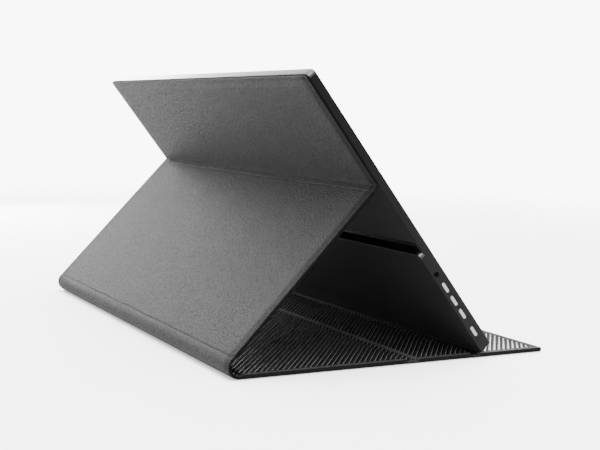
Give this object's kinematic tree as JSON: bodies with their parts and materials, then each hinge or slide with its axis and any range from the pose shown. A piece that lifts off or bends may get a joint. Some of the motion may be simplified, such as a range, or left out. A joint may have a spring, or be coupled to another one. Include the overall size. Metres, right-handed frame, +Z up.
{
  "type": "portable monitor with cover",
  "caption": "Slim portable monitor with side buttons and sockets, standing on its own folding magnetic cover of grey leather-look sheet with a ribbed black lining.",
  "frame": {"origin": "middle of the footprint, on the table", "axes": "+X along the width, to the right as seen from the screen's side; +Y from the screen's side to the back; +Z up"},
  "size_m": [0.355, 0.2208, 0.1762],
  "materials": {
    "case_metal": "satin dark grey anodised",
    "strip_black": "fine matte",
    "bezel_black": "matte",
    "sheet_glass": "black anti-glare",
    "cell_glass": "plain",
    "guide_clear": "clear",
    "led_white": "plain",
    "tray_steel": "plain sheet",
    "foam_black": "foam tape",
    "magnet_nickel": "nickel plated",
    "board_green": "solder mask",
    "shield_tin": "tin plated",
    "chip_black": "moulded",
    "connector_cream": "moulded",
    "ribbon_amber": "film",
    "screw_steel": "plain",
    "socket_black": "moulded",
    "socket_steel": "stamped",
    "button_grey": "satin light grey",
    "cover_leather": "grey leather-look sheet",
    "cover_lining": "black with fine light ribs",
    "cover_board": "stiff board"
  },
  "bodies": {
    "base": {"rear_skin": "cover_leather", "rear_board": "cover_board", "rear_lining": "cover_lining"},
    "base_middle": {"middle_skin": "cover_leather", "middle_board": "cover_board", "middle_lining": "cover_lining"},
    "base_front": {"front_skin": "cover_leather", "front_board": "cover_board", "front_lining": "cover_lining"},
    "spine": {"spine_skin": "cover_leather", "spine_lining": "cover_lining"},
    "strut": {"strut_skin": "cover_leather", "strut_board": "cover_board", "strut_lining": "cover_lining"},
    "back_panel": {"panel_skin": "cover_leather", "panel_plate": "tray_steel", "panel_lining": "cover_lining"},
    "monitor": {"rear_case": "case_metal", "back_strip": "strip_black", "front_frame": "bezel_black", "front_sheet": "sheet_glass", "lcd_cell": "cell_glass", "light_guide": "guide_clear", "led_strip": "led_white", "steel_tray": "tray_steel", "mounting_foam": "foam_black", "case_magnets": "magnet_nickel", "main_board": "board_green", "board_shield": "shield_tin", "board_chips": "chip_black", "display_connector": "connector_cream", "display_ribbon": "ribbon_amber", "board_screws": "screw_steel", "speakers": "chip_black", "headphone_socket": "socket_black", "usb_c_sockets": "socket_steel", "mini_hdmi_socket": "socket_steel", "button_board": "board_green", "tact_switches": "shield_tin"},
    "menu_button_top": {"menu_button_top": "button_grey"},
    "menu_button_middle": {"menu_button_middle": "button_grey"},
    "menu_button_low": {"menu_button_low": "button_grey"},
    "power_button": {"power_button": "button_grey"}
  },
  "joints": [
    {"name": "cover_open", "type": "hinge", "parent": "base", "child": "spine", "pos_m": [0, 0.10315, 0.0073], "axis": [-1, 0, 0], "range_deg": [0, 98], "deforming": ["spine_skin", "spine_lining"]},
    {"name": "stand_fold", "type": "hinge", "parent": "spine", "child": "strut", "pos_m": [0, 0.10843, 0.01234], "axis": [-1, 0, 0], "range_deg": [0, 33], "deforming": ["spine_skin", "spine_lining"]},
    {"name": "panel_fold", "type": "hinge", "parent": "strut", "child": "back_panel", "pos_m": [0, 0.01652, 0.10856], "axis": [-1, 0, 0], "range_deg": [-70.95, 0]},
    {"name": "monitor_release", "type": "slide", "parent": "back_panel", "child": "monitor", "axis": [0, -0.7923, 0.6101], "range_m": [0, 0.03]},
    {"name": "middle_crease", "type": "hinge", "parent": "base", "child": "base_middle", "pos_m": [0, -0.0122, 0], "axis": [-1, 0, 0], "range_deg": [-90, 0]},
    {"name": "front_crease", "type": "hinge", "parent": "base_middle", "child": "base_front", "pos_m": [0, -0.05885, 0], "axis": [-1, 0, 0], "range_deg": [-90, 4]},
    {"name": "menu_button_top_press", "type": "slide", "parent": "monitor", "child": "menu_button_top", "axis": [1, 0, 0], "range_m": [0, 0.0004], "stiffness_N_per_m": 1500},
    {"name": "menu_button_middle_press", "type": "slide", "parent": "monitor", "child": "menu_button_middle", "axis": [1, 0, 0], "range_m": [0, 0.0004], "stiffness_N_per_m": 1500},
    {"name": "menu_button_low_press", "type": "slide", "parent": "monitor", "child": "menu_button_low", "axis": [1, 0, 0], "range_m": [0, 0.0004], "stiffness_N_per_m": 1500},
    {"name": "power_button_press", "type": "slide", "parent": "monitor", "child": "power_button", "axis": [1, 0, 0], "range_m": [0, 0.0004], "stiffness_N_per_m": 1500}
  ],
  "couplings": [
    {"joint": "panel_fold", "follows": "stand_fold", "ratio": -2.15}
  ]
}
